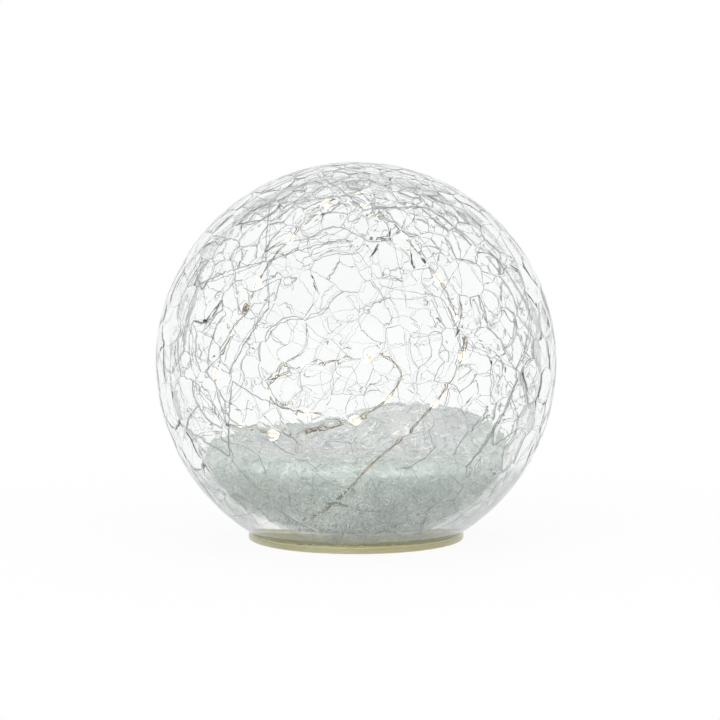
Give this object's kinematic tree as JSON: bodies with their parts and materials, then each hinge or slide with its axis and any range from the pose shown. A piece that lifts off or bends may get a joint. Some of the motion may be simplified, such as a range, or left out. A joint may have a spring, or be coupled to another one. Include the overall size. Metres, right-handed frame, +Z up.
{
  "type": "decorative globe light",
  "caption": "Crackled glass globe light with a bed of frosted granulate and a copper light string, on a battery base with a hinged door and a slide switch.",
  "frame": {"origin": "middle of the foot, on the plane that the light stands on", "axes": "+Z up through the globe, -Y to the front, +X to the right seen from the front"},
  "size_m": [0.15, 0.15, 0.1414],
  "materials": {
    "crackled_glass": "clear, crackled inside the wall",
    "olive_silicone": "translucent satin",
    "frosted_granulate": "fine frosted grains",
    "grey_moulding": "fine texture",
    "dark_gasket": "matt",
    "soft_feet": "matt",
    "steel": "plain",
    "nickel_contacts": "nickel plated",
    "cell_sleeve": "plain sleeve",
    "board": "solder mask",
    "chip_black": "moulded",
    "switch_body": "moulded",
    "knob_white": "moulded",
    "lead_red": "insulation",
    "lead_black": "insulation",
    "grommet_grey": "matt",
    "copper_wire": "enamelled copper",
    "light_chip": "phosphor",
    "clear_resin": "clear drop"
  },
  "bodies": {
    "lamp": {"glass_globe": "crackled_glass", "seal_ring": "olive_silicone", "snow_fill": "frosted_granulate", "base_housing": "grey_moulding", "foot_pads": "soft_feet", "door_hinge_pin": "steel", "board_screws": "steel", "negative_terminal": "nickel_contacts", "positive_terminal": "nickel_contacts", "rear_bridge": "nickel_contacts", "front_bridge": "nickel_contacts", "battery_left": "cell_sleeve", "battery_middle": "cell_sleeve", "battery_right": "cell_sleeve", "timer_board": "board", "timer_chip": "chip_black", "switch_case": "switch_body", "positive_lead": "lead_red", "negative_lead": "lead_black", "wire_grommet": "grommet_grey", "led_wire": "copper_wire", "led_chips": "light_chip", "led_beads": "clear_resin"},
    "door": {"battery_door": "grey_moulding", "door_gasket": "dark_gasket"},
    "door_screw": {"door_screw": "steel"},
    "switch": {"switch_slider": "knob_white"}
  },
  "joints": [
    {"name": "door_hinge", "type": "hinge", "parent": "lamp", "child": "door", "pos_m": [0, 0.0272, 0.002], "axis": [1, 0, 0], "range_deg": [0, 90]},
    {"name": "door_screw_turn", "type": "hinge", "parent": "door", "child": "door_screw", "pos_m": [0, -0.0272, 0.002], "axis": [0, 0, 1], "continuous": true},
    {"name": "switch_slide", "type": "slide", "parent": "lamp", "child": "switch", "axis": [0, 1, 0], "range_m": [-0.002, 0.002]}
  ]
}
